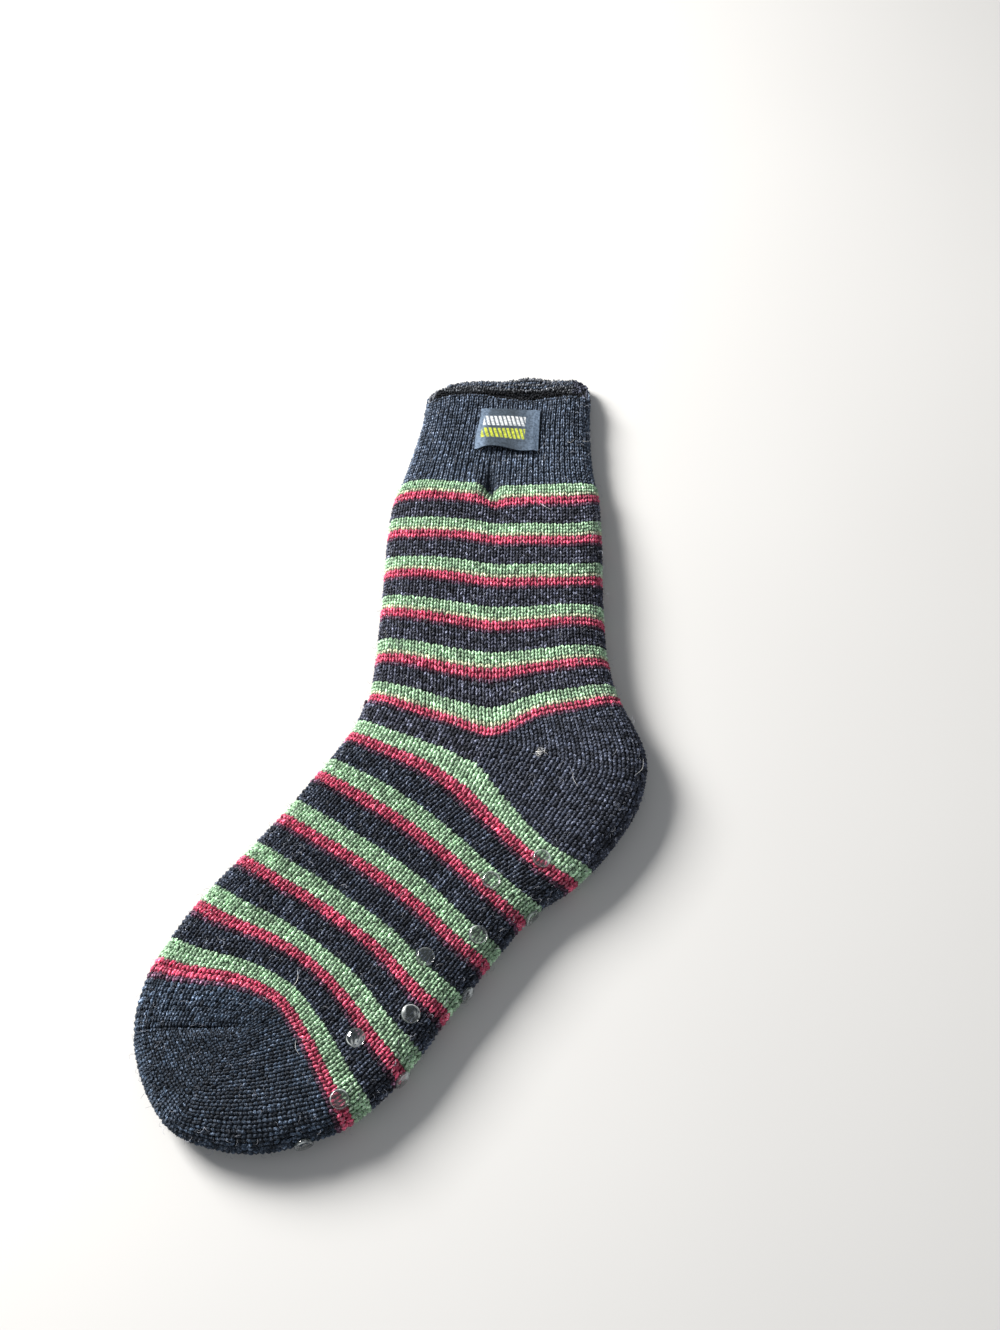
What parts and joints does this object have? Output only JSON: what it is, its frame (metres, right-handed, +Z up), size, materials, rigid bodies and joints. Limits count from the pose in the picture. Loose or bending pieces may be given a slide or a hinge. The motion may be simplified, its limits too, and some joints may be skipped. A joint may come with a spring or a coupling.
{
  "type": "slipper sock",
  "caption": "Thick striped thermal knit slipper sock lying flat on its side, with a ribbed cuff, a heel and toe pocket, clear sole grip dots and a woven cuff label.",
  "frame": {"origin": "middle of the bounding box in plan, on the surface that the sock lies on", "axes": "+Z up from the floor, +Y along the leg towards the mouth, +X towards the heel; the toe points to -X and -Y"},
  "size_m": [0.2136, 0.4008, 0.0218],
  "materials": {
    "knit": "near-black melange terry knit with pairs of green and red stripes",
    "label": "slate blue woven tape with two plain stripes",
    "grip": "clear glossy silicone"
  },
  "bodies": {
    "root": {"sock": "knit", "label": "label", "grip_dot_middle_1": "grip", "grip_dot_middle_2": "grip", "grip_dot_middle_3": "grip", "grip_dot_middle_4": "grip", "grip_dot_upper_near_1": "grip", "grip_dot_upper_near_2": "grip", "grip_dot_upper_near_3": "grip", "grip_dot_upper_near_4": "grip", "grip_dot_upper_far_1": "grip", "grip_dot_upper_far_2": "grip", "grip_dot_upper_far_3": "grip", "grip_dot_lower_near_1": "grip", "grip_dot_lower_near_2": "grip", "grip_dot_lower_near_3": "grip", "grip_dot_lower_near_4": "grip", "grip_dot_lower_far_1": "grip", "grip_dot_lower_far_2": "grip", "grip_dot_lower_far_3": "grip"}
  },
  "joints": []
}
